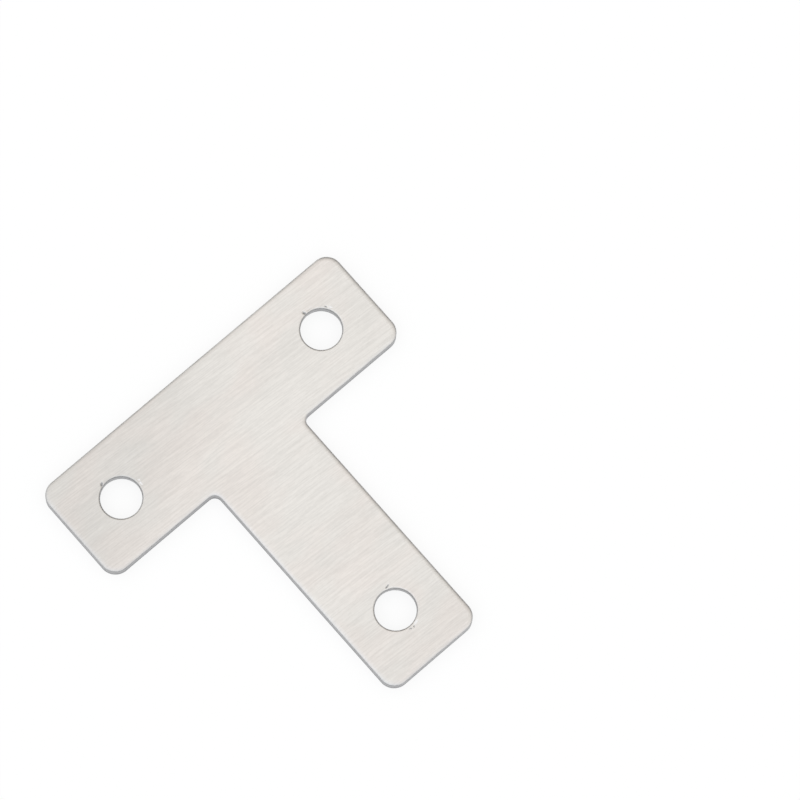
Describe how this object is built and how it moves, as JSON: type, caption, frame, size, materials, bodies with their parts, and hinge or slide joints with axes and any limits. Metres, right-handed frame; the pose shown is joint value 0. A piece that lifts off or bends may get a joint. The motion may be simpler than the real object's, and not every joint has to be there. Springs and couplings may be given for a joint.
{
  "type": "extrusion joining plate",
  "caption": "Flat T-shaped sheet metal plate with rounded corners and a plain screw hole near each end, for joining two framing extrusions at right angles.",
  "frame": {"origin": "on the seating face, where the middle lines of the two profiles that the plate joins cross: halfway along the crossbar, on its middle line", "axes": "+X along the crossbar, -Y along the stem, +Z out of the show face, away from the profiles"},
  "size_m": [0.05, 0.05, 0.002],
  "materials": {
    "plate": "fine straight brushed stainless steel, satin, with rolled cut edges"
  },
  "bodies": {
    "root": {"tee_plate": "plate"}
  },
  "joints": []
}
